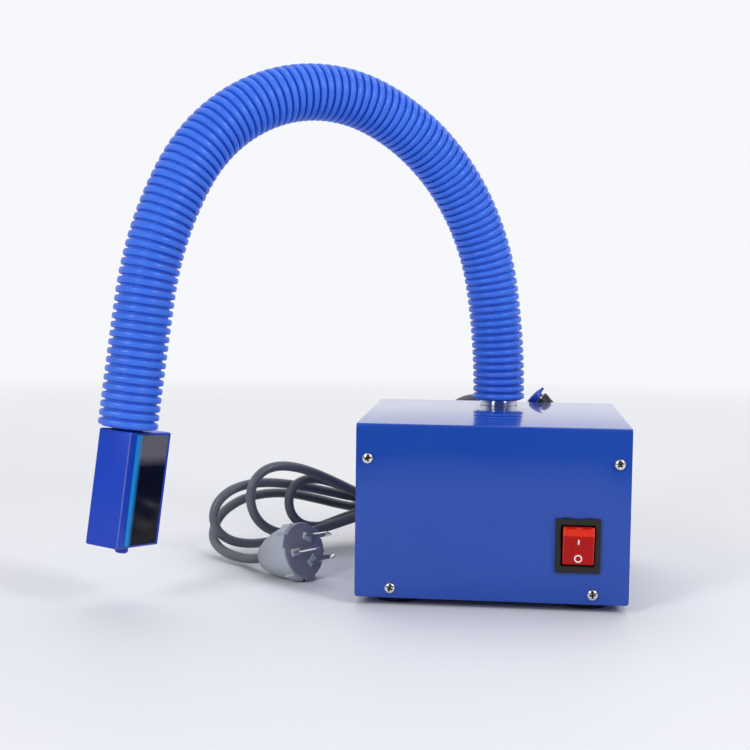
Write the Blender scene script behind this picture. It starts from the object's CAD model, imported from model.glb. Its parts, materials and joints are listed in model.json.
"""Looks of a bench ionizing air blower: enamelled box, ribbed gooseneck, flat nozzle, mains lead."""

import json
from math import cos, pi, radians, sin

import bmesh
import bpy
from mathutils import Matrix, Vector


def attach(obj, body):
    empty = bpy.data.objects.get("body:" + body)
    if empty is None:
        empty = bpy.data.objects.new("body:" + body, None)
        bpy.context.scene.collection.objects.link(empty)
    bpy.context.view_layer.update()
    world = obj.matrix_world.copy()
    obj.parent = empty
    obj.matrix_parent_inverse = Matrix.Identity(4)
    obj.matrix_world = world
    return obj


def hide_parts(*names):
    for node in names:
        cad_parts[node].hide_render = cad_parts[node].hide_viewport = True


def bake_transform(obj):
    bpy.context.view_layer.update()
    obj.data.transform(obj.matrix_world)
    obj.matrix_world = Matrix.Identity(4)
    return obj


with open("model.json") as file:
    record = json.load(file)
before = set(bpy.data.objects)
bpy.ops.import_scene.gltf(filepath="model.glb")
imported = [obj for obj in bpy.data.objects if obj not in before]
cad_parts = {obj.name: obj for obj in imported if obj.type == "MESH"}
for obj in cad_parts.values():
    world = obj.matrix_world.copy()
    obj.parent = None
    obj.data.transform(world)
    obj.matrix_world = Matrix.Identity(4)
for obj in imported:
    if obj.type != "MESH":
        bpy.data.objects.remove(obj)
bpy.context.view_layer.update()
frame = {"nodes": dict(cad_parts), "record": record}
NODES = frame["nodes"]

# Sizes are in millimetres, as in the part's source; a finished piece is scaled to metres
MM = 0.001
BOX_AT = Vector((74.9, 10.4, 0))
BOX_W = 160
BOX_D = 160
BOX_H = 103
FOOT_H = 5
SHEET = 1.2
BEND_R = 2
CORNER_R = 2.2
CASE_SCREW = (6.5, 2.2)
# Rows of screws: how far in from the sides and how high over the box's bottom edge
SCREW_ROWS = [(7, 82.5), (21, 6)]
BOX_TOP = FOOT_H + BOX_H
REAR_Y = BOX_D / 2

SWITCH_AT = Vector((50, -BOX_D / 2, FOOT_H + 34.5))
BEZEL = (26, 31.5, 2)
WELL = (19.4, 24, 18)
SWITCH_HOLE = (WELL[0] + 2.4, WELL[1] + 2.4)
ROCKER_W = 18
ROCKER_L = 22.4
ROCKER_TILT = 11
ROCKER_OFF = 0.3
PIVOT_IN = 2

NECK_AT = Vector((2, REAR_Y - 26, BOX_TOP + 3.6))
NECK_TURN = 37
STRETCH_TURN = [11, 28, 30, 41, 41, 20.5, 1]
RIB_PITCH = 5.05
RIB_R = 1.9
RIB_DEPTH = 2.35
RIB_STEPS = 10
RIB_SQUARE = 3.4
GROOVE_R = 14.9
HOSE_BORE_R = 14.15
HOSE_LIP = 5
HOSE_SIDES = 56
# Mould seams of the hose, on two sides: where the first runs at the foot and at the tip, in degrees round it
SEAM_FOOT = 101
SEAM_TIP = 150
SEAM_HALF = 1.5
SEAM_RISE = 1.016
RIBS_PER_STRETCH = 15
STRETCH_L = RIBS_PER_STRETCH * RIB_PITCH

NOZZLE = (43, 22, 67)
NOZZLE_R = 1.6
# Worn paint on the long edges: the least share of a face's normal that looks each way
NOZZLE_WORN = 0.5
NOZZLE_SHIFT = 9
NOZZLE_TWIST = -35
HOSE_GAP = 1.2
LABEL = (32.5, 64, 0.4)
LABEL_SHIFT = 1.25

ELBOW_AT = Vector((42, REAR_Y + 16, BOX_TOP - 12))
ELBOW_TURN = 45
LEG_L = 17
RELIEF_AT = Vector((10, REAR_Y, BOX_TOP - 9))
RELIEF_L = 24

CORD_D = 6.5
STRAND = CORD_D + 0.6
PLUG_END = Vector((-145.6, REAR_Y - 85.3, 10.8))
PLUG_TURN = -34
PLUG_RISE = 15.5
PLUG_ROLL = 91
PLUG_D = 36
PLUG_L = 34
PLUG_RIM = PLUG_D / 2 - 0.2
KEY = (2.6, 9, 8)
KEY_IN = 5
LUG = (2.6, 9, 0.7)
LUG_ANGLES = (0, 120, 240)
LUG_TURN = 32
PIN = (6.3, 1.6, 20)
PIN_FOOT = (7.5, 4.5, 1)
PIN_RING_R = 8.6


def turn(degrees, axis):
    return Matrix.Rotation(radians(degrees), 4, axis)


def shift(x, y, z):
    return Matrix.Translation((x, y, z))


def in_box(point):
    return Matrix.Translation(BOX_AT + Vector(point))


AT_SWITCH = in_box(SWITCH_AT) @ turn(90, "X")
AT_ROCKER = AT_SWITCH @ shift(0, 0, -PIVOT_IN) @ turn(ROCKER_TILT, "X")
IN_ARCH = in_box(NECK_AT) @ turn(180 + NECK_TURN, "Z")
AT_LEG = in_box(ELBOW_AT) @ turn(-ELBOW_TURN, "Y")
AT_RELIEF = in_box(RELIEF_AT) @ turn(-90, "X")
AT_PLUG = (in_box(PLUG_END) @ turn(PLUG_TURN, "Z") @ turn(90 - PLUG_RISE, "Y")
           @ turn(PLUG_ROLL, "Z"))


def neck_at(s):
    """Frame of the neck at a length s from its foot, +Z along it."""
    place = Matrix.Identity(4)
    for degrees in STRETCH_TURN:
        step = min(max(s, 0), STRETCH_L)
        radius = STRETCH_L / radians(degrees)
        angle = step / radius
        place = place @ shift(radius * (1 - cos(angle)), 0, radius * sin(angle))
        place = place @ Matrix.Rotation(angle, 4, "Y")
        s -= step
    return IN_ARCH @ place


NECK_L = STRETCH_L * len(STRETCH_TURN)
AT_NOZZLE = neck_at(NECK_L) @ turn(NOZZLE_TWIST, "Z") @ shift(NOZZLE_SHIFT, 0, HOSE_GAP)

# Camera and light

CAMERA_AT = Vector((6.1, -843.4, 193.4)) + BOX_AT
CAMERA_YAW = -5.64
CAMERA_PITCH = -4.25
CAMERA_ROLL = 0.71
FOCAL = 63.36
SENSOR = 36


def make_camera():
    data = bpy.data.cameras.new("camera")
    data.lens = FOCAL
    data.sensor_width = SENSOR
    data.clip_start = 0.01
    camera = bpy.data.objects.new("camera", data)
    camera.matrix_world = (Matrix.Translation(CAMERA_AT * MM) @ turn(-CAMERA_YAW, "Z")
                           @ turn(90 + CAMERA_PITCH, "X") @ turn(CAMERA_ROLL, "Z"))
    bpy.context.scene.collection.objects.link(camera)
    bpy.context.scene.camera = camera


def make_lamp(name, at, aim, size, watts, mirrored=True):
    """Oblong lamp at a place in metres; one that isn't mirrored leaves no spot on glossy faces."""
    data = bpy.data.lights.new(name, "AREA")
    data.shape = "RECTANGLE"
    data.size, data.size_y = size
    data.energy = watts
    lamp = bpy.data.objects.new(name, data)
    lamp.visible_camera = False
    lamp.visible_glossy = mirrored
    lamp.location = at
    lamp.rotation_euler = (Vector(aim) - Vector(at)).to_track_quat("-Z", "Y").to_euler()
    bpy.context.scene.collection.objects.link(lamp)


# Materials

# Values between which most of a noise lies
NOISE_SPAN = (0.3, 0.7)
# Draws the noise out into rings round Z
RING_STRETCH = (0.15, 0.15, 1)


def new_group(name, inputs, outputs):
    """Node group with float inputs, given as name: default, and outputs, given as name: socket type."""
    group = bpy.data.node_groups.new(name, "ShaderNodeTree")
    for label, value in inputs.items():
        socket = group.interface.new_socket(label, in_out="INPUT", socket_type="NodeSocketFloat")
        socket.default_value = value
    for label, kind in outputs.items():
        group.interface.new_socket(label, in_out="OUTPUT", socket_type=kind)
    return group, group.nodes.new("NodeGroupInput"), group.nodes.new("NodeGroupOutput")


def noise(tree, coordinates, scale, detail):
    """Noise on the given coordinates, its scale taken from a socket."""
    node = tree.nodes.new("ShaderNodeTexNoise")
    node.inputs["Detail"].default_value = detail
    tree.links.new(coordinates, node.inputs["Vector"])
    tree.links.new(scale, node.inputs["Scale"])
    return node.outputs["Fac"]


def remap(tree, value, from_range, to_range):
    """Value moved from one range into another, whose ends are numbers or sockets."""
    node = tree.nodes.new("ShaderNodeMapRange")
    node.inputs["From Min"].default_value, node.inputs["From Max"].default_value = from_range
    for label, end in zip(("To Min", "To Max"), to_range):
        if isinstance(end, (int, float)):
            node.inputs[label].default_value = end
        else:
            tree.links.new(end, node.inputs[label])
    tree.links.new(value, node.inputs["Value"])
    return node.outputs["Result"]


def larger(tree, first, second):
    """The larger of two values, point by point."""
    node = tree.nodes.new("ShaderNodeMath")
    node.operation = "MAXIMUM"
    tree.links.new(first, node.inputs[0])
    tree.links.new(second, node.inputs[1])
    return node.outputs["Value"]


def make_skin_group():
    """Moulded or painted skin: fine grain as height, and slow patches for colour and gloss."""
    group, into, out = new_group("surface_skin", {"Grain": 900.0, "Patch": 25.0, "Low": 0.3, "High": 0.4},
                                 {"Height": "NodeSocketFloat", "Patches": "NodeSocketFloat",
                                  "Roughness": "NodeSocketFloat"})
    where = group.nodes.new("ShaderNodeTexCoord").outputs["Object"]
    grain = noise(group, where, into.outputs["Grain"], 2)
    patch = noise(group, where, into.outputs["Patch"], 3)
    group.links.new(grain, out.inputs["Height"])
    group.links.new(remap(group, patch, NOISE_SPAN, (0, 1)), out.inputs["Patches"])
    gloss = remap(group, patch, NOISE_SPAN, (into.outputs["Low"], into.outputs["High"]))
    group.links.new(gloss, out.inputs["Roughness"])
    return group


def make_turned_group():
    """Turned metal: fine rings of scratches, as height and as roughness."""
    group, into, out = new_group("turned_marks", {"Fine": 2500.0, "Low": 0.1, "High": 0.25},
                                 {"Height": "NodeSocketFloat", "Roughness": "NodeSocketFloat"})
    where = group.nodes.new("ShaderNodeTexCoord").outputs["Object"]
    stretch = group.nodes.new("ShaderNodeMapping")
    stretch.inputs["Scale"].default_value = RING_STRETCH
    group.links.new(where, stretch.inputs["Vector"])
    lines = noise(group, stretch.outputs["Vector"], into.outputs["Fine"], 3)
    group.links.new(lines, out.inputs["Height"])
    gloss = remap(group, lines, NOISE_SPAN, (into.outputs["Low"], into.outputs["High"]))
    group.links.new(gloss, out.inputs["Roughness"])
    return group


SKIN = make_skin_group()
TURNED = make_turned_group()
# Height of the grain and of the turned marks, in metres
SKIN_DEPTH = 0.0002
TURNED_DEPTH = 0.0001
# Share of a full turn that sets the streaks along the axis
STREAK_TURN = 0.25
# Shares of the label's length and width over which its grey top and its stripe end
GREY_ENDS = (0.2, 0.3)
STRIPE_ENDS = (0.08, 0.2)
LABEL_GREY = (0.135, 0.13, 0.145)
LABEL_BLACK = (0.003, 0.003, 0.004)
STRIPE_CYAN = (0.015, 0.26, 0.66)


def start_material(name):
    """New material with its node tree and its shader."""
    material = bpy.data.materials.new(name)
    material.use_nodes = True
    tree = material.node_tree
    return material, tree, tree.nodes["Principled BSDF"]


def add_bump(tree, shader, height, strength, distance):
    bump = tree.nodes.new("ShaderNodeBump")
    bump.inputs["Strength"].default_value = strength
    bump.inputs["Distance"].default_value = distance
    tree.links.new(height, bump.inputs["Height"])
    tree.links.new(bump.outputs["Normal"], shader.inputs["Normal"])


def mix_colours(tree, mask, colour, other):
    """Mix of a colour and another, which may be a socket, by a mask."""
    mix = tree.nodes.new("ShaderNodeMix")
    mix.data_type = "RGBA"
    mix.inputs["A"].default_value = (*colour, 1)
    if isinstance(other, tuple):
        mix.inputs["B"].default_value = (*other, 1)
    else:
        tree.links.new(other, mix.inputs["B"])
    tree.links.new(mask, mix.inputs["Factor"])
    return mix.outputs["Result"]


def add_group(tree, shader, group, values, bump, depth):
    """Gives a shader the roughness and the height of a node group, whose node is returned."""
    node = tree.nodes.new("ShaderNodeGroup")
    node.node_tree = group
    for label, value in values.items():
        node.inputs[label].default_value = value
    tree.links.new(node.outputs["Roughness"], shader.inputs["Roughness"])
    add_bump(tree, shader, node.outputs["Height"], bump, depth)
    return node


def add_skin(tree, shader, gloss, grain, patch, bump):
    """Grain and gloss of a skin; returns the mask of its patches."""
    values = {"Grain": grain, "Patch": patch, "Low": gloss[0], "High": gloss[1]}
    return add_group(tree, shader, SKIN, values, bump, SKIN_DEPTH).outputs["Patches"]


def skin_material(name, colour, other, gloss, grain=900, patch=25, bump=0.1, shine=0.3, coat=0.0,
                  coat_gloss=0.05):
    """Plastic, rubber or paint: two close colours, a range of roughness, grain and an optional clear coat."""
    material, tree, shader = start_material(name)
    patches = add_skin(tree, shader, gloss, grain, patch, bump)
    tree.links.new(mix_colours(tree, patches, colour, other), shader.inputs["Base Color"])
    shader.inputs["Specular IOR Level"].default_value = shine
    shader.inputs["Coat Weight"].default_value = coat
    shader.inputs["Coat Roughness"].default_value = coat_gloss
    return material


def metal_material(name, colour, gloss, bump=0.05, streak=0.0):
    """Metal with turned marks; streak draws highlights out along the turned axis."""
    material, tree, shader = start_material(name)
    shader.inputs["Anisotropic"].default_value = streak
    shader.inputs["Anisotropic Rotation"].default_value = STREAK_TURN
    shader.inputs["Base Color"].default_value = (*colour, 1)
    shader.inputs["Metallic"].default_value = 1
    add_group(tree, shader, TURNED, {"Low": gloss[0], "High": gloss[1]}, bump, TURNED_DEPTH)
    return material


def label_material():
    """Glossy black film, greyer toward the hose, with a cyan stripe along its front edge."""
    material, tree, shader = start_material("label_film")
    across, along = (tree.nodes.new("ShaderNodeAttribute") for _ in range(2))
    across.attribute_name = "across"
    along.attribute_name = "along"
    to_black = remap(tree, along.outputs["Fac"], GREY_ENDS, (0, 1))
    ground = mix_colours(tree, to_black, LABEL_GREY, LABEL_BLACK)
    past_stripe = remap(tree, across.outputs["Fac"], STRIPE_ENDS, (0, 1))
    tree.links.new(mix_colours(tree, past_stripe, STRIPE_CYAN, ground), shader.inputs["Base Color"])
    add_skin(tree, shader, gloss=(0.12, 0.2), grain=500, patch=60, bump=0.04)
    shader.inputs["Specular IOR Level"].default_value = 0.25
    return material


ENAMEL = skin_material("box_enamel", (0.0085, 0.054, 0.344), (0.0105, 0.060, 0.362), (0.20, 0.26),
                       grain=700, patch=14, bump=0.06, shine=0.08, coat=0.75, coat_gloss=0.02)
HOSE = skin_material("hose_plastic", (0.032, 0.135, 0.68), (0.037, 0.150, 0.72), (0.36, 0.44),
                     grain=1500, patch=30, bump=0.05, coat=0.1, coat_gloss=0.2)
NOZZLE_PAINT = skin_material("nozzle_paint", (0.008, 0.046, 0.435), (0.0095, 0.052, 0.46), (0.30, 0.38),
                             grain=800, patch=40, bump=0.10, shine=0.2, coat=0.15, coat_gloss=0.10)
NOZZLE_EDGE = skin_material("worn_paint", (0.085, 0.115, 0.40), (0.13, 0.16, 0.44), (0.26, 0.36),
                            grain=800, patch=120, bump=0.10, shine=0.3, coat=0.15, coat_gloss=0.10)
RELEASE_BLUE = skin_material("release_plastic", (0.02, 0.07, 0.55), (0.03, 0.09, 0.60), (0.25, 0.35))
BEZEL_BLACK = skin_material("bezel_plastic", (0.013, 0.013, 0.013), (0.017, 0.017, 0.017), (0.42, 0.52),
                            grain=1800, patch=80, bump=0.12)
BLACK = skin_material("black_plastic", (0.010, 0.010, 0.011), (0.016, 0.016, 0.017), (0.35, 0.48),
                      grain=1600, patch=60)
RUBBER = skin_material("foot_rubber", (0.010, 0.010, 0.011), (0.018, 0.018, 0.019), (0.65, 0.8),
                       grain=2200, patch=70, bump=0.2)
RED = skin_material("rocker_red", (0.39, 0.0045, 0.0035), (0.415, 0.0055, 0.0045), (0.24, 0.34),
                    grain=1500, patch=60, bump=0.05, shine=0.15, coat=0.05)
RED_EDGE = skin_material("rocker_edge", (0.62, 0.020, 0.007), (0.68, 0.025, 0.009), (0.2, 0.3),
                         grain=1500, patch=60, bump=0.05, shine=0.4, coat=0.2)
WHITE = skin_material("print_white", (0.82, 0.80, 0.80), (0.88, 0.87, 0.87), (0.4, 0.5))
CORD_GREY = skin_material("cord_sheath", (0.095, 0.100, 0.125), (0.110, 0.115, 0.142), (0.30, 0.40),
                          grain=1300, patch=30, bump=0.12, shine=0.5)
PLUG_GREY = skin_material("plug_shell", (0.37, 0.395, 0.45), (0.40, 0.425, 0.48), (0.42, 0.55),
                          grain=1800, patch=50, bump=0.18)
PLUG_DARK = skin_material("plug_face", (0.22, 0.225, 0.275), (0.245, 0.25, 0.30), (0.42, 0.55),
                          grain=1800, patch=50, bump=0.18)
PIN_COLLAR = skin_material("pin_collar", (0.50, 0.51, 0.54), (0.58, 0.59, 0.62), (0.4, 0.5))
IVORY = skin_material("holder_ivory", (0.62, 0.58, 0.50), (0.68, 0.64, 0.56), (0.4, 0.5))
AIR_TUBE = skin_material("air_tube", (0.20, 0.40, 0.62), (0.24, 0.45, 0.66), (0.2, 0.3))
LEAD_RED = skin_material("lead_red", (0.30, 0.02, 0.015), (0.34, 0.03, 0.02), (0.35, 0.45))
BOARD = skin_material("board_green", (0.012, 0.10, 0.045), (0.018, 0.13, 0.06), (0.3, 0.4))
POLISHED = metal_material("collar_plating", (0.86, 0.85, 0.84), (0.14, 0.20), bump=0.01, streak=0.85)
CHROME = metal_material("polished_plating", (0.86, 0.85, 0.83), (0.03, 0.10))
SCREW_PLATE = metal_material("screw_plating", (0.80, 0.78, 0.74), (0.14, 0.24))
STEEL = metal_material("plain_steel", (0.55, 0.55, 0.55), (0.25, 0.4))
BRASS = metal_material("turned_brass", (0.78, 0.56, 0.22), (0.15, 0.3))
ALUMINIUM = metal_material("machined_aluminium", (0.72, 0.73, 0.74), (0.25, 0.4))
LABEL_FILM = label_material()

# Finish of each material slot of the record, for the solids that stay in view
SLOT_FINISH = {
    "blue_paint": ENAMEL, "hose_blue": HOSE, "nozzle_paint": NOZZLE_PAINT, "nickel": CHROME, "steel": STEEL,
    "brass": BRASS, "rubber": RUBBER, "black_plastic": BLACK, "red_plastic": RED, "label": LABEL_FILM,
    "ivory_plastic": IVORY, "tube_plastic": AIR_TUBE, "lead_red": LEAD_RED, "aluminium": ALUMINIUM,
    "board": BOARD, "cord_pvc": CORD_GREY, "plug_pvc": PLUG_GREY,
}

# Mesh helpers

def as_mesh(bm, name="part"):
    """Mesh from a bmesh, which is freed."""
    mesh = bpy.data.meshes.new(name)
    bm.to_mesh(mesh)
    bm.free()
    return mesh


def picked(geom, kind):
    """Elements of one kind from those that a bmesh operator gives back."""
    return [part for part in geom if isinstance(part, kind)]


def runs_along(axis):
    """Test that picks a block's edges along one axis."""
    return lambda e: abs(getattr(e.verts[0].co, axis) - getattr(e.verts[1].co, axis)) > 0.1


def lathe(profile, steps=64):
    """Closed or open shape of revolution about Z from points (radius, height)."""
    bm = bmesh.new()
    corners = [bm.verts.new((r, 0, z)) for r, z in profile]
    edges = [bm.edges.new(pair) for pair in zip(corners, corners[1:])]
    bmesh.ops.spin(bm, geom=corners + edges, cent=(0, 0, 0), axis=(0, 0, 1), angle=2 * pi, steps=steps,
                   use_merge=True)
    bmesh.ops.remove_doubles(bm, verts=bm.verts, dist=1e-4)
    bmesh.ops.recalc_face_normals(bm, faces=bm.faces)
    return bm


def block(w, d, h):
    bm = bmesh.new()
    bmesh.ops.create_cube(bm, size=1)
    bmesh.ops.scale(bm, vec=(w, d, h), verts=bm.verts)
    return bm


def prism(outline, length):
    """Outline in XY drawn out along Z, its middle at z = 0."""
    bm = bmesh.new()
    face = bm.faces.new([bm.verts.new((x, y, -length / 2)) for x, y in outline])
    drawn = bmesh.ops.extrude_face_region(bm, geom=[face])["geom"]
    bmesh.ops.translate(bm, vec=(0, 0, length), verts=picked(drawn, bmesh.types.BMVert))
    bmesh.ops.recalc_face_normals(bm, faces=bm.faces)
    return bm


def round_edges(bm, width, segments=3, least=30, only=None):
    """Rounds the edges that fold by more than least degrees, or those that only picks."""
    edges = [e for e in bm.edges if e.is_manifold and e.calc_face_angle(0) > radians(least)]
    if only:
        edges = [e for e in edges if only(e)]
    bmesh.ops.bevel(bm, geom=edges, offset=width, affect="EDGES", segments=segments, profile=0.5,
                    material=-1, clamp_overlap=True)
    return bm


def move(bm, place):
    bmesh.ops.transform(bm, matrix=place, verts=bm.verts)
    return bm


def joined(*parts):
    """One bmesh from several, each of which is freed."""
    whole = bmesh.new()
    for part in parts:
        mesh = as_mesh(part)
        whole.from_mesh(mesh)
        bpy.data.meshes.remove(mesh)
    return whole


def copied(bm, places):
    """Copies of one bmesh at several places, as one bmesh; the given one is freed."""
    copies = [move(bm.copy(), place) for place in places]
    bm.free()
    return joined(*copies)


def combined(bm, other, operation):
    """Boolean of two closed bmeshes, both of which are freed."""
    objects = []
    for part in (bm, other):
        objects.append(bpy.data.objects.new("part", as_mesh(part)))
        bpy.context.scene.collection.objects.link(objects[-1])
    change = objects[0].modifiers.new("change", "BOOLEAN")
    change.operation = operation
    change.object = objects[1]
    change.solver = "EXACT"
    result = objects[0].evaluated_get(bpy.context.evaluated_depsgraph_get())
    whole = bmesh.new()
    whole.from_mesh(result.to_mesh())
    for obj in objects:
        bpy.data.meshes.remove(obj.data)
    return whole


def make_object(name, bm, material, sharp=35):
    """Object at the origin from a bmesh in millimetres, smooth but for edges sharper than sharp degrees."""
    bmesh.ops.scale(bm, vec=(MM, MM, MM), verts=bm.verts)
    mesh = as_mesh(bm, name)
    mesh.shade_smooth()
    mesh.set_sharp_from_angle(angle=radians(sharp))
    mesh.materials.append(material)
    obj = bpy.data.objects.new(name, mesh)
    bpy.context.scene.collection.objects.link(obj)
    return obj


def add_piece(name, bm, material, body, slot, *nodes, sharp=35):
    """Piece that rides on a body and stands for the CAD nodes named."""
    obj = make_object(name, bm, material, sharp)
    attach(obj, body)
    if nodes:
        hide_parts(*nodes)
    return obj


def soften(node, width):
    """Rounds the edges of a CAD node that stays in view."""
    weld = NODES[node].modifiers.new("weld", "WELD")
    weld.merge_threshold = 1e-5
    bevel = NODES[node].modifiers.new("bevel", "BEVEL")
    bevel.width = width * MM
    bevel.segments = 2
    bevel.limit_method = "ANGLE"
    bevel.angle_limit = radians(40)


# Lead: near the route of the part's source, from the strain relief through the tied hank to the plug

EXIT_ROUTE = [(0, 0, 0), (0, 8, 0), (-0.7, 15, 0.3), (-3.2, 23, 1.2), (-8, 30.5, 2.7), (-15.5, 36.5, 4.2),
              (-25, 38.5, 5), (-36, 36, 2.5), (-44.5, 30.5, -4.5), (-50, 24.5, -14.5), (-53.5, 18.5, -26),
              (-57, 11, -37.5), (-61, 4, -48), (-67, -1.5, -57), (-74.5, -6.3, -63.5), (-81, -10, -66.5)]
PLUG_ROUTE = [(-100.5, 24.6, 26.6), (-111.6, 18.4, 28.6), (-126.3, 9.8, 33.4), (-144, 0.6, 38.2),
              (-160.7, -7.1, 39.1), (-176.1, -13.7, 35.8), (-188, -19.9, 28.2), (-193, -27.6, 19.6),
              (-192.3, -36.2, 12), (-186.2, -45.6, 7.4), (-176, -56.4, 5.2), (-163.5, -67.5, 5.3)]
WAIST = Vector((-84, REAR_Y + 20, 29))
TIE_ROOM = (3, 0.6)
HANK_LIE = 212
LEFT_LOOPS = [(104, 21.8, 13.9, 4.3), (72, 14.9, 7.4, 2.3), (124, 19.4, -1, 0.4)]
RIGHT_LOOP = (70, 19.5)
LEFT_STEPS, RIGHT_STEPS = 20, 14
LOOP_BLUNT = 0.9
LOOP_EASE = 0.08
PINCH = 0.12
# Pieces that the lead is cut into between each two of its points, and its straight run into the plug
LEAD_STEPS = 4
PLUG_RUN = 8
ALONG = Vector((cos(radians(HANK_LIE)), sin(radians(HANK_LIE)), 0))
ACROSS = Vector((-sin(radians(HANK_LIE)), cos(radians(HANK_LIE)), 0))
UP = Vector((0, 0, 1))


def through(points, steps):
    """Smooth curve through a list of points, cut into steps between each pair."""
    points = [Vector(p) for p in points]
    ends = [2 * points[0] - points[1]] + points + [2 * points[-1] - points[-2]]
    path = []
    for a, b, c, d in zip(ends, ends[1:], ends[2:], ends[3:]):
        for k in range(steps):
            t = k / steps
            path.append(0.5 * (2 * b + (c - a) * t + (2 * a - 5 * b + 4 * c - d) * t * t
                               + (3 * b - a - 3 * c + d) * t ** 3))
    return path + [points[-1]]


def loop_share(u):
    """Reach and swell of a loop as shares, u running once round it, with the eased place along it."""
    t = u - LOOP_EASE * sin(2 * pi * u)
    reach = max(sin(pi * t), 0) ** LOOP_BLUNT
    swell = sin(2 * pi * t) * (1 + PINCH) / (1 + PINCH / max(reach, 0.001))
    return t, reach, swell


def column(c):
    """Place of strand c across the tied middle."""
    return (1.5 - c) * STRAND


def left_point(c, u):
    t, reach, swell = loop_share(u)
    far, half, lift, lean = LEFT_LOOPS[c]
    rise = STRAND / 2 * cos(pi * t) + half * swell + lift * reach
    return WAIST + ALONG * far * reach + ACROSS * (column(c) + lean * reach * reach) + UP * rise


def right_point(c, u):
    t, reach, swell = loop_share(u)
    far, half = RIGHT_LOOP
    rise = -STRAND / 2 * cos(pi * t) - half * swell
    return WAIST - ALONG * far * reach + ACROSS * (column(c) - STRAND * t) + UP * rise


def lead_path():
    """Middle line of the whole lead in the box's frame."""
    hank = []
    for c in range(len(LEFT_LOOPS)):
        hank += [left_point(c, k / LEFT_STEPS) for k in range(LEFT_STEPS)]
        hank += [right_point(c, k / RIGHT_STEPS) for k in range(RIGHT_STEPS)]
    hank.append(right_point(len(LEFT_LOOPS) - 1, 1))
    relief_end = RELIEF_AT + Vector((0, RELIEF_L, 0))
    leave = [relief_end + Vector(p) for p in EXIT_ROUTE]
    plug_axis = (AT_PLUG.to_3x3() @ UP).normalized()
    enter = [(x, REAR_Y + y, z) for x, y, z in PLUG_ROUTE] + [PLUG_END - PLUG_RUN * plug_axis, PLUG_END]
    return through(leave + hank + enter, LEAD_STEPS)


def make_lead():
    """Round curve along the lead's middle line; returns it with its start and its length."""
    data = bpy.data.curves.new("mains_lead", "CURVE")
    data.dimensions = "3D"
    data.bevel_depth = CORD_D / 2 * MM
    data.bevel_resolution = 5
    data.use_fill_caps = True
    path = [(BOX_AT + p) * MM for p in lead_path()]
    spline = data.splines.new("POLY")
    spline.points.add(len(path) - 1)
    for point, at in zip(spline.points, path):
        point.co = (*at, 1)
    data.materials.append(CORD_GREY)
    lead = bpy.data.objects.new("mains_lead", data)
    bpy.context.scene.collection.objects.link(lead)
    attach(lead, "base")
    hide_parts("power_cord", "cord_hank", "plug_lead")
    length = sum((b - a).length for a, b in zip(path, path[1:]))
    return lead, path[0], length


def make_plug():
    """Tapered grey shell with keys, dark face with lugs, and three flat pins in pale feet."""
    rim = PLUG_RIM
    shell = lathe([(0, 0), (8.6, 0), (9.3, 0.6), (9.5, 4.6), (9.8, 5), (11.6, 5.4), (12.2, 6), (13.6, 9.4),
                   (15.2, 13.8), (16.5, 19), (rim - 0.4, 24.5), (rim, 27.5), (rim, PLUG_L - 1),
                   (rim - 0.3, PLUG_L - 0.7), (0, PLUG_L - 0.7)], 72)
    face = lathe([(0, PLUG_L - 0.8), (rim - 0.4, PLUG_L - 0.8), (rim - 0.4, PLUG_L - 0.3),
                  (rim - 0.7, PLUG_L), (0, PLUG_L)], 72)
    keys, lugs = [], []
    for angle in LUG_ANGLES:
        key = round_edges(block(*KEY), 0.5, 2)
        keys.append(move(key, turn(angle, "Z") @ shift(rim - 0.2, 0, PLUG_L - KEY_IN)))
        lug = round_edges(block(*LUG), 0.2, 1)
        lugs.append(move(lug, turn(angle + LUG_TURN, "Z") @ shift(rim - 0.2, 0, PLUG_L - 0.4)))
    shell = joined(shell, *keys)
    face = joined(face, *lugs)
    pins, feet = [], []
    for k in range(3):
        at = (shift(0, 0, PLUG_L) @ turn(180 + 120 * k, "Z") @ shift(PIN_RING_R, 0, 0)
              @ turn(0 if k == 0 else 90, "Z"))
        pin = round_edges(block(*PIN), 0.45, 3)
        tip = [v for v in pin.verts if v.co.z > PIN[2] / 2 - 1.5]
        bmesh.ops.scale(pin, vec=(0.72, 0.6, 1), verts=tip)
        pins.append(move(pin, at @ shift(0, 0, PIN[2] / 2)))
        foot = round_edges(block(*PIN_FOOT), 0.3, 2)
        feet.append(move(foot, at @ shift(0, 0, PIN_FOOT[2] / 2)))
    shell = add_piece("plug_shell", move(shell, AT_PLUG), PLUG_GREY, "base", "plug_pvc", "plug_body")
    face = add_piece("plug_front", move(face, AT_PLUG), PLUG_DARK, "base", "cord_pvc", "plug_face")
    pins = add_piece("plug_blades", move(joined(*pins), AT_PLUG), CHROME, "base", "nickel", "plug_pins")
    feet = add_piece("plug_pin_feet", move(joined(*feet), AT_PLUG), PIN_COLLAR, "base", "plug_pvc")
    return [shell, face, pins, feet]


def make_tie():
    """Flat band round the strands with a small locking head."""
    outer, inner = (round_edges(block(2 * STRAND + room, 4 * STRAND + room, 5), STRAND / 2, 6,
                                only=runs_along("z")) for room in TIE_ROOM)
    bmesh.ops.scale(inner, vec=(1, 1, 1.5), verts=inner.verts)
    band = round_edges(combined(outer, inner, "DIFFERENCE"), 0.35, 2, 50)
    head = move(round_edges(block(4.2, 6.4, 5.6), 0.6, 2), shift(-STRAND - 2.6, 4, 0))
    place = in_box(WAIST) @ turn(HANK_LIE, "Z") @ turn(90, "Y")
    return add_piece("hank_tie", move(joined(band, head), place), BLACK, "base", "black_plastic", "cord_tie")


make_camera()
lead, lead_exit, lead_length = make_lead()
on_lead = make_plug() + [make_tie()]


# Box

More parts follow.
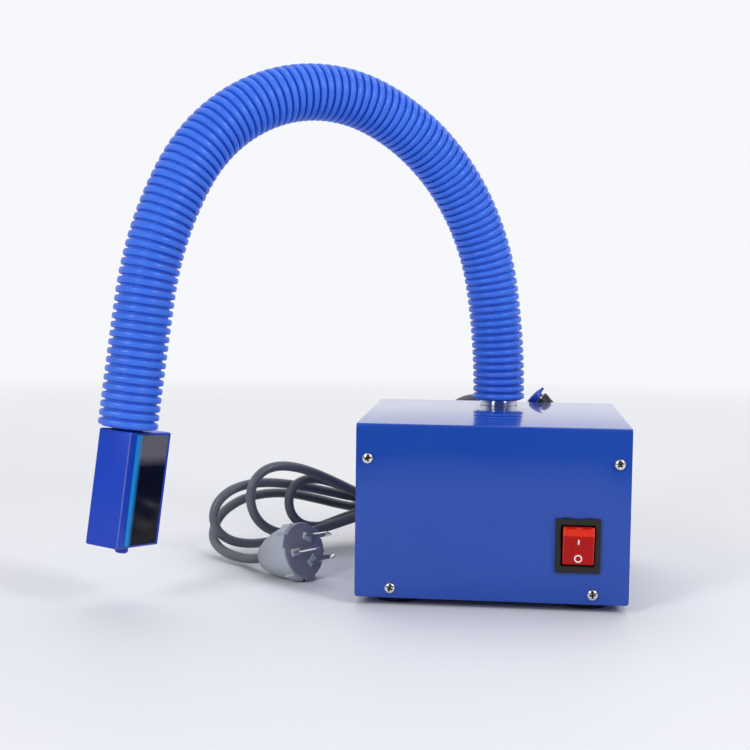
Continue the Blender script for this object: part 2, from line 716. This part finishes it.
def make_wrap():
    """Front, top and rear of the box, one sheet bent twice, with the switch's hole in its front."""
    bm = bmesh.new()
    low, high = FOOT_H, BOX_TOP
    outline = [(-REAR_Y, low), (-REAR_Y, high), (REAR_Y, high), (REAR_Y, low)]
    corners = [bm.verts.new((-BOX_W / 2, y, z)) for y, z in outline]
    edges = [bm.edges.new(pair) for pair in zip(corners, corners[1:])]
    drawn = bmesh.ops.extrude_edge_only(bm, edges=edges)["geom"]
    bmesh.ops.translate(bm, vec=(BOX_W, 0, 0), verts=picked(drawn, bmesh.types.BMVert))
    bmesh.ops.recalc_face_normals(bm, faces=bm.faces)
    front = min(bm.faces, key=lambda f: f.calc_center_median().y)
    if front.normal.y > 0:
        bmesh.ops.reverse_faces(bm, faces=bm.faces)
    bends = [e for e in bm.edges if len(e.link_faces) == 2]
    bmesh.ops.bevel(bm, geom=bends, offset=BEND_R, affect="EDGES", segments=6, profile=0.5, material=-1)
    low_corners = [v for v in bm.verts if v.co.z < low + 0.01]
    bmesh.ops.bevel(bm, geom=low_corners, offset=CORNER_R, affect="VERTICES", segments=5, profile=0.5,
                    material=-1)
    half_w, half_h = SWITCH_HOLE[0] / 2, SWITCH_HOLE[1] / 2
    for x, z, normal in ((-half_w, 0, (1, 0, 0)), (half_w, 0, (1, 0, 0)),
                         (0, -half_h, (0, 0, 1)), (0, half_h, (0, 0, 1))):
        front = [f for f in bm.faces if f.normal.y < -0.9]
        geom = front + list({e for f in front for e in f.edges}) + list({v for f in front for v in f.verts})
        bmesh.ops.bisect_plane(bm, geom=geom, plane_co=SWITCH_AT + Vector((x, 0, z)), plane_no=normal)
    hole = [f for f in bm.faces if f.normal.y < -0.9
            and abs(f.calc_center_median().x - SWITCH_AT.x) < half_w
            and abs(f.calc_center_median().z - SWITCH_AT.z) < half_h]
    bmesh.ops.delete(bm, geom=hole, context="FACES")
    wrap = add_piece("box_wrap", move(bm, in_box((0, 0, 0))), ENAMEL, "base", "blue_paint", "wrap", sharp=50)
    wall = wrap.modifiers.new("sheet", "SOLIDIFY")
    wall.thickness = SHEET * MM
    wall.offset = -1
    edge = wrap.modifiers.new("edge", "BEVEL")
    edge.width = 0.35 * MM
    edge.segments = 3
    edge.limit_method = "ANGLE"
    edge.angle_limit = radians(50)


def cross(w, l, h, foot=(1, 1)):
    """Two crossed bars, narrowed at the foot to the given shares of their width and length."""
    bar = block(w, l, h)
    bmesh.ops.scale(bar, vec=(*foot, 1), verts=[v for v in bar.verts if v.co.z < 0])
    return combined(bar, move(bar.copy(), turn(90, "Z")), "UNION")


def pan_head(head_d, head_h):
    """Pan head on z = 0 with a cross recess."""
    r = head_d / 2
    head = lathe([(0, 0), (r, 0), (r, 0.35 * head_h), (0.93 * r, 0.62 * head_h), (0.75 * r, 0.85 * head_h),
                  (0.45 * r, 0.97 * head_h), (0, head_h)], 48)
    recess = cross(0.2 * head_d, 0.62 * head_d, head_h, foot=(0.7, 0.75))
    return combined(head, move(recess, shift(0, 0, 0.85 * head_h)), "DIFFERENCE")


def recess_shade(head_d, head_h):
    """Dark floor of the cross recess."""
    return move(cross(0.16 * head_d, 0.5 * head_d, 0.2), shift(0, 0, 0.42 * head_h))


def make_case_screws():
    """Heads of the screws on the front and the rear, each turned its own way."""
    spots = [(side * (BOX_W / 2 - inset), FOOT_H + height)
             for inset, height in SCREW_ROWS for side in (-1, 1)]
    head = pan_head(*CASE_SCREW)
    shade = recess_shade(*CASE_SCREW)
    for name, way, y in (("front_screws", 90, -REAR_Y), ("rear_screws", -90, REAR_Y)):
        places = [in_box((x, y, z)) @ turn(way, "X") @ turn(20 + 25 * k, "Z")
                  for k, (x, z) in enumerate(spots)]
        add_piece("box_" + name, copied(head.copy(), places), SCREW_PLATE, "base", "nickel", name)
        add_piece("recess_" + name, copied(shade.copy(), places), BLACK, "base", "nickel")
    head.free()
    shade.free()


make_wrap()
soften("chassis", 0.5)
make_case_screws()


# Switch

def make_switch_housing():
    """Bezel with an open well, its body behind the panel closed."""
    bm = bmesh.new()
    half_w, half_h = WELL[0] / 2, WELL[1] / 2
    corners = [(-half_w, -half_h), (half_w, -half_h), (half_w, half_h), (-half_w, half_h)]
    floor = bm.faces.new([bm.verts.new((x, y, -WELL[2])) for x, y in corners])
    edges = list(floor.edges)
    body_w, body_h = WELL[0] + 2.2, WELL[1] + 2.2
    steps = [(WELL[0], WELL[1], BEZEL[2] - 0.9), (WELL[0] + 1.2, WELL[1] + 1.2, BEZEL[2]),
             (BEZEL[0], BEZEL[1], BEZEL[2]), (BEZEL[0], BEZEL[1], 0), (body_w, body_h, 0),
             (body_w, body_h, -WELL[2] - 2)]
    for w, h, z in steps:
        drawn = bmesh.ops.extrude_edge_only(bm, edges=edges)["geom"]
        edges = picked(drawn, bmesh.types.BMEdge)
        for v in {v for e in edges for v in e.verts}:
            v.co = (w / 2 if v.co.x > 0 else -w / 2, h / 2 if v.co.y > 0 else -h / 2, z)
    bmesh.ops.contextual_create(bm, geom=edges)
    bmesh.ops.recalc_face_normals(bm, faces=bm.faces)
    round_edges(bm, 0.45, 3, 40)
    tabs = []
    for x in (-6.5, 6.5):
        tab = round_edges(block(5, 1.2, 1), 0.25, 2)
        tabs.append(move(tab, shift(x, BEZEL[1] / 2, 0.5)))
    whole = move(joined(bm, *tabs), AT_SWITCH)
    add_piece("switch_bezel", whole, BEZEL_BLACK, "base", "black_plastic", "switch_housing")


def make_rocker():
    """Red rocker: a long hollowed face, a facet at the raised end with two slots, printed marks."""
    half = ROCKER_L / 2
    outline = [(-half, 1), (-half + 0.8, 4.9), (-4, 4.1), (1, 4.2), (6.9, 5.5), (7.7, 5.35),
               (half + 0.3, 2.3), (half + 0.7, 1), (half * 0.55, -4.5), (-half * 0.55, -4.5)]
    rocker = move(prism(outline, ROCKER_W), turn(90, "Z") @ turn(90, "X"))
    round_edges(rocker, 0.5, 3, 25)
    for x in (-4.6, 4.6):
        slot = move(block(5, 1, 1.4), shift(x, half + 0.1, 2.1))
        rocker = combined(rocker, slot, "DIFFERENCE")
    rocker.normal_update()
    for face in rocker.faces:
        on_facet = face.normal.y > 0.35 and face.calc_center_median().z > 2
        on_side = abs(face.normal.x) > 0.2 and face.normal.z > 0.2
        face.material_index = int(on_facet or on_side)
    place = AT_ROCKER @ shift(ROCKER_OFF, 0, 0)
    button = add_piece("switch_button", move(rocker, place), RED, "rocker", "red_plastic", "switch_rocker")
    button.data.materials.append(RED_EDGE)
    bar = round_edges(block(0.95, 3.3, 0.16), 0.06, 1)
    move(bar, place @ shift(0, 3.75, 4.83) @ turn(12.4, "X"))
    ring = lathe([(1.6, -0.08), (2.3, -0.08), (2.3, 0.08), (1.6, 0.08), (1.6, -0.08)], 40)
    move(ring, place @ shift(0, -6.7, 4.46) @ turn(-7.1, "X"))
    add_piece("switch_marks", joined(bar, ring), WHITE, "rocker", "red_plastic")


make_switch_housing()
make_rocker()


# Neck

def make_ferrule():
    """Polished collar: a sleeve inside the hose, a narrow band over the box's top, a stem through it."""
    top = 10.1
    bm = lathe([(9.8, top), (13.6, top), (13.85, top - 0.3), (13.85, 0), (12.5, 0), (12.35, -0.3),
                (12.35, -2.6), (12.7, -2.8), (12.7, -3.5), (12.6, -3.6), (11, -3.6), (11, -19.6),
                (7.5, -19.6), (7.5, -8), (9.8, -8), (9.8, top)], 96)
    add_piece("neck_collar", move(bm, in_box(NECK_AT)), POLISHED, "base", "nickel", "neck_ferrule")


def flat_crest(angle):
    """Point of a half round that is squared off into a flat crest with rounded shoulders."""
    along = abs(cos(angle)) ** (2 / RIB_SQUARE)
    return along if cos(angle) > 0 else -along, sin(angle) ** (2 / RIB_SQUARE)


def rib_rings(first, last):
    """Lengths and radii of the rings of the ribs from first up to last."""
    flat = RIB_PITCH / 2 - RIB_R
    rings = []
    for rib in range(first, last):
        start = rib * RIB_PITCH
        rings.append((start, GROOVE_R))
        for k in range(RIB_STEPS + 1):
            along, out = flat_crest(pi * k / RIB_STEPS)
            rings.append((start + flat + RIB_R * (1 - along), GROOVE_R + RIB_DEPTH * out))
    rings.append((last * RIB_PITCH, GROOVE_R))
    return rings


def add_seams(circle):
    """Draws the points beside two opposite points of a circle close to them, and raises those two."""
    sides = sorted(circle, key=lambda v: -abs(v.co.x))
    for v in sides[:2]:
        v.co *= SEAM_RISE
    for v in sides[2:6]:
        angle = radians(SEAM_HALF)
        v.co.x = cos(angle) if v.co.x > 0 else -cos(angle)
        v.co.y = sin(angle) if v.co.y > 0 else -sin(angle)


def make_hose_piece(number, first, last, fold, bodies, nodes):
    """Ribbed hose over one bend of the neck, from rib first up to rib last, its end lips turned in."""
    rings = rib_rings(first, last)
    if first == 0:
        rings = [(HOSE_LIP, HOSE_BORE_R), (0, HOSE_BORE_R)] + rings
    if last == RIBS_PER_STRETCH * len(STRETCH_TURN):
        rings = rings + [(NECK_L, HOSE_BORE_R), (NECK_L - HOSE_LIP, HOSE_BORE_R)]
    bm = bmesh.new()
    circle = bmesh.ops.create_circle(bm, segments=HOSE_SIDES, radius=1)["verts"]
    add_seams(circle)
    before = Matrix.Identity(4)
    edges = list(bm.edges)
    for k, (s, radius) in enumerate(rings):
        seam = SEAM_FOOT + (SEAM_TIP - SEAM_FOOT) * s / NECK_L
        place = neck_at(s) @ turn(seam, "Z") @ Matrix.Diagonal((radius, radius, 1, 1))
        verts = circle
        if k:
            drawn = bmesh.ops.extrude_edge_only(bm, edges=edges)["geom"]
            edges = picked(drawn, bmesh.types.BMEdge)
            verts = picked(drawn, bmesh.types.BMVert)
        bmesh.ops.transform(bm, matrix=place @ before.inverted(), verts=verts)
        before = place
    bmesh.ops.recalc_face_normals(bm, faces=bm.faces)
    middle = neck_at((first + last) / 2 * RIB_PITCH).to_translation()
    nearest = min(bm.faces, key=lambda f: (f.calc_center_median() - middle).length)
    if nearest.normal.dot(nearest.calc_center_median() - middle) < 0:
        bmesh.ops.reverse_faces(bm, faces=bm.faces)
    piece = make_object(f"hose_{number}_ribbed", bm, HOSE, 60)
    start, end = (neck_at(rib * RIB_PITCH).to_translation() * MM for rib in fold)
    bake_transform(piece)
    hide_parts(*nodes)


# Ribs of each piece of hose and those between which it folds
HOSE_PIECES = [((0, 20), (6, 20)), ((20, 35), (20, 35)), ((35, 50), (35, 50)),
               ((50, 65), (50, 65)), ((65, 80), (65, 80)), ((80, 105), (80, 96))]


def make_hose():
    for k, (ribs, fold) in enumerate(HOSE_PIECES, start=1):
        bodies = ("base" if k == 1 else f"neck_{k}", f"neck_{k + 1}")
        nodes = [f"hose_{k}", f"hose_bend_{k}"]
        if k == 1:
            nodes += ["neck_core", "air_line", "hv_lead"]
        if k == len(HOSE_PIECES):
            nodes.append("hose_7")
        make_hose_piece(k, *ribs, fold, bodies, nodes)


make_ferrule()
make_hose()


# Nozzle

def make_nozzle():
    """Flat case with worn long edges, and the outlet tip at its end."""
    l = NOZZLE[2]
    shell = round_edges(block(*NOZZLE), NOZZLE_R, 8, only=runs_along("z"))
    shell.normal_update()
    for face in shell.faces:
        face.material_index = int(min(abs(face.normal.x), abs(face.normal.y)) > NOZZLE_WORN)
    round_edges(shell, 1.0, 3, 60)
    move(shell, AT_NOZZLE @ shift(0, 0, l / 2))
    case = add_piece("nozzle_case", shell, NOZZLE_PAINT, "neck_7", "nozzle_paint", "nozzle_shell")
    case.data.materials.append(NOZZLE_EDGE)
    tip = lathe([(0, -1), (4.6, -1), (4.6, 0), (4.3, 0.5), (4.0, 0.8), (3.9, 3.6), (3.5, 4.6), (2.9, 5),
                 (1.9, 5), (1.5, 4.4), (1.5, 0.5), (0, 0.5)], 48)
    add_piece("nozzle_tip", move(tip, AT_NOZZLE @ shift(0, 0, l)), NOZZLE_PAINT, "neck_7",
              "nozzle_paint", "nozzle_cap")


def make_labels():
    """Film on both broad faces, with shares of its width and length kept for its colours."""
    w, l, thick = LABEL
    parts = []
    for side in (-1, 1):
        plate = round_edges(block(w, thick, l), 1.0, 4, only=runs_along("y"))
        bmesh.ops.bisect_plane(plate, geom=plate.verts[:] + plate.edges[:] + plate.faces[:],
                               plane_co=(0, 0, 0), plane_no=(1, 0, 0))
        parts.append(move(plate, shift(LABEL_SHIFT, side * (NOZZLE[1] + thick) / 2, NOZZLE[2] / 2)))
    whole = joined(*parts)
    across = whole.verts.layers.float.new("across")
    along = whole.verts.layers.float.new("along")
    for v in whole.verts:
        v[across] = (v.co.x - LABEL_SHIFT) / w + 0.5
        v[along] = v.co.z / NOZZLE[2]
    move(whole, AT_NOZZLE)
    add_piece("nozzle_film", whole, LABEL_FILM, "neck_7", "label", "nozzle_labels")


make_nozzle()
make_labels()


# Air inlet and strain relief

def make_elbow():
    """Push-in elbow: round body, slanted leg with a brass collet, release ring with a tab."""
    main = lathe([(0, 8), (6.6, 8), (7.5, 7.1), (7.5, -10.4), (7.2, -10.7), (0, -10.7)], 64)
    move(main, in_box(ELBOW_AT) @ turn(-90, "X"))
    leg = lathe([(0, 0), (6.7, 0), (6.7, 12.4), (7, 12.8), (7, LEG_L - 0.4), (6.7, LEG_L), (6.35, LEG_L),
                 (6.35, LEG_L - 1.4), (0, LEG_L - 1.4)], 64)
    body = combined(main, move(leg, AT_LEG), "UNION")
    add_piece("elbow_case", body, BLACK, "elbow", "black_plastic", "elbow_body")
    collet = lathe([(4.8, LEG_L - 1.5), (6.3, LEG_L - 1.5), (6.3, LEG_L + 0.2), (6.1, LEG_L + 0.4),
                    (4.8, LEG_L + 0.4), (4.8, LEG_L - 1.5)], 64)
    add_piece("elbow_ring", move(collet, AT_LEG), BRASS, "elbow", "brass", "elbow_collet")
    low = LEG_L + 2.3
    release = lathe([(4.0, LEG_L - 8), (4.7, LEG_L - 8), (4.7, low), (6.2, low), (6.5, low + 0.3),
                     (6.5, low + 2.0), (6.1, low + 2.5), (4.6, low + 2.5), (4.0, low + 1.8),
                     (4.0, LEG_L - 8)], 64)
    tab = move(round_edges(block(2.6, 4, 1.6), 0.3, 2), shift(7, 0, low + 1.3))
    release = joined(release, tab)
    add_piece("elbow_button", move(release, AT_LEG), RELEASE_BLUE, "release", "hose_blue", "elbow_release")


def make_relief():
    """Tapered sleeve with ring grooves."""
    profile = [(0, -7.2), (5, -7.2), (5, 0), (7, 0), (7, 2.4), (6.4, 3)]
    for k in range(4):
        z = 4 + 4.2 * k
        r = 5.9 - 0.42 * k
        profile += [(r, z), (r - 0.1, z + 2.6), (r - 0.9, z + 2.9), (r - 0.95, z + 3.9)]
    profile += [(4.3, 21), (4.1, RELIEF_L - 0.4), (3.8, RELIEF_L), (0, RELIEF_L)]
    add_piece("lead_sleeve", move(lathe(profile, 56), AT_RELIEF), BLACK, "base", "black_plastic",
              "strain_relief", sharp=50)


make_elbow()
make_relief()
for node, width in (("elbow_stem", 0.3), ("switch_terminals", 0.1), ("control_board", 0.2),
                    ("hv_transformer", 0.2), ("valve_body", 0.2), ("nozzle_ferrule", 0.2)):
    soften(node, width)

# Finishes of the solids

for row in frame["record"]["subparts"]:
    node = NODES[row["node"]]
    finish = SLOT_FINISH[row["material_slot"]]
    if not node.material_slots:
        node.data.materials.append(finish)
    for slot in node.material_slots:
        slot.material = finish


# Studio

# Metres from the middle between which the floor runs into the backdrop
FLOOR_FADE = (0.3, 1.7)
FLOOR_TINT = (0.715, 0.72, 0.755)
BACKDROP_TINT = (0.93, 0.935, 0.965)
# How dim the camera's side is in mirrored views, and between which metres the floor gets as dim
DIM_ROOM = 0.05
DIM_FLOOR = (-0.75, -0.35)
# The same for the surroundings, by how far a direction points to the back
DIM_SIDES = (-0.6, 0.15)
AMBIENT = 0.4
AMBIENT_TINT = (0.98, 0.985, 1)
FLOOR_HALF = 8000


def floor_material():
    """Pale paper that holds the shadow near the object and runs into the backdrop further off."""
    material, tree, shader = start_material("floor_paper")
    shader.inputs["Base Color"].default_value = (*FLOOR_TINT, 1)
    shader.inputs["Roughness"].default_value = 0.6
    where = tree.nodes.new("ShaderNodeTexCoord").outputs["Object"]
    reach = tree.nodes.new("ShaderNodeVectorMath")
    reach.operation = "LENGTH"
    tree.links.new(where, reach.inputs[0])
    far = remap(tree, reach.outputs["Value"], FLOOR_FADE, (0, 1))
    backdrop = tree.nodes.new("ShaderNodeEmission")
    backdrop.inputs["Color"].default_value = (*BACKDROP_TINT, 1)
    toward = tree.nodes.new("ShaderNodeSeparateXYZ")
    tree.links.new(where, toward.inputs["Vector"])
    mirrored = tree.nodes.new("ShaderNodeLightPath").outputs["Is Glossy Ray"]
    dim = remap(tree, toward.outputs["Y"], DIM_FLOOR, (DIM_ROOM, 1))
    tree.links.new(remap(tree, mirrored, (0, 1), (1, dim)), backdrop.inputs["Strength"])
    mix = tree.nodes.new("ShaderNodeMixShader")
    tree.links.new(far, mix.inputs["Fac"])
    tree.links.new(shader.outputs["BSDF"], mix.inputs[1])
    tree.links.new(backdrop.outputs["Emission"], mix.inputs[2])
    tree.links.new(mix.outputs["Shader"], tree.nodes["Material Output"].inputs["Surface"])
    return material


def make_floor():
    bm = bmesh.new()
    bmesh.ops.create_grid(bm, x_segments=1, y_segments=1, size=FLOOR_HALF)
    floor = make_object("floor", bm, floor_material())


def make_world():
    """Pale surroundings where they are seen or mirrored, dimmer on the camera's side, and softer as light."""
    world = bpy.data.worlds.new("studio")
    world.use_nodes = True
    tree = world.node_tree
    ray = tree.nodes.new("ShaderNodeLightPath")
    shown = tree.nodes["Background"]
    shown.inputs["Color"].default_value = (*BACKDROP_TINT, 1)
    toward = tree.nodes.new("ShaderNodeSeparateXYZ")
    tree.links.new(tree.nodes.new("ShaderNodeTexCoord").outputs["Generated"], toward.inputs["Vector"])
    behind = remap(tree, toward.outputs["Y"], DIM_SIDES, (DIM_ROOM, 1))
    seen = ray.outputs["Is Camera Ray"]
    tree.links.new(larger(tree, behind, seen), shown.inputs["Strength"])
    soft = tree.nodes.new("ShaderNodeBackground")
    soft.inputs["Color"].default_value = (*AMBIENT_TINT, 1)
    soft.inputs["Strength"].default_value = AMBIENT
    for label in ("Is Glossy Ray", "Is Transmission Ray"):
        seen = larger(tree, seen, ray.outputs[label])
    mix = tree.nodes.new("ShaderNodeMixShader")
    tree.links.new(seen, mix.inputs["Fac"])
    tree.links.new(soft.outputs["Background"], mix.inputs[1])
    tree.links.new(shown.outputs["Background"], mix.inputs[2])
    tree.links.new(mix.outputs["Shader"], tree.nodes["World Output"].inputs["Surface"])
    bpy.context.scene.world = world


make_floor()
make_world()
make_lamp("left_lamp", (-0.85, -1.3, 0.88), (0, 0, 0.12), (0.45, 0.7), 12)
make_lamp("right_lamp", (1.0, -0.8, 0.9), (0, 0, 0.15), (0.35, 0.6), 8.8)
make_lamp("back_lamp", (-0.1, 0.95, 1.1), (-0.1, 0.6, 0), (2.2, 0.8), 6, mirrored=False)
make_lamp("top_lamp", (0.1, 0.35, 1.4), (0, 0.1, 0.1), (1.4, 0.9), 7, mirrored=False)

bpy.context.scene.view_settings.view_transform = "Standard"
